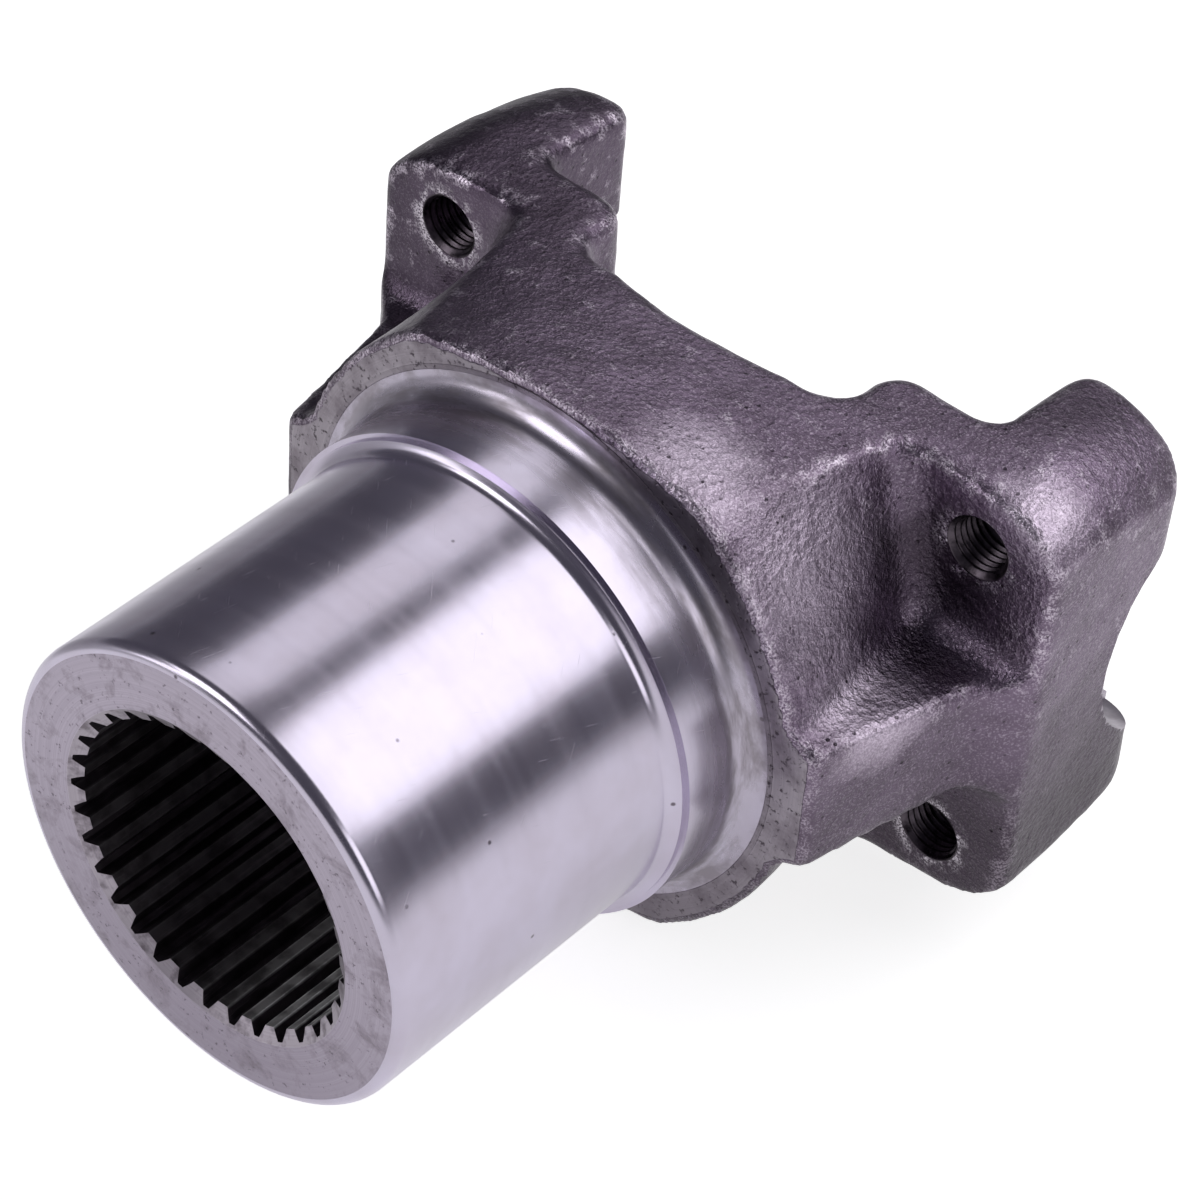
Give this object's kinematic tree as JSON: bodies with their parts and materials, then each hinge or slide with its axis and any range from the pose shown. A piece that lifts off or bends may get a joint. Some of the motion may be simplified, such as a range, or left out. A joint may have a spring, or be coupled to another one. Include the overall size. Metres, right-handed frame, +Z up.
{
  "type": "driveshaft end yoke",
  "caption": "Forged steel end yoke for a driveshaft joint: a splined hub with a turned seal journal, and arms with half-round bearing seats and tapped holes for the straps.",
  "frame": {"origin": "centre of the joint, where the axis of the bearing seats crosses the hub's axis", "axes": "+X across the arms along the bearing seats, +Y along the hub's axis from its mouth to the seats, +Z up, square to both"},
  "size_m": [0.104, 0.1095, 0.074],
  "materials": {
    "forged_steel": "shot-blasted forging with a turned hub"
  },
  "bodies": {
    "root": {"yoke": "forged_steel"}
  },
  "joints": []
}
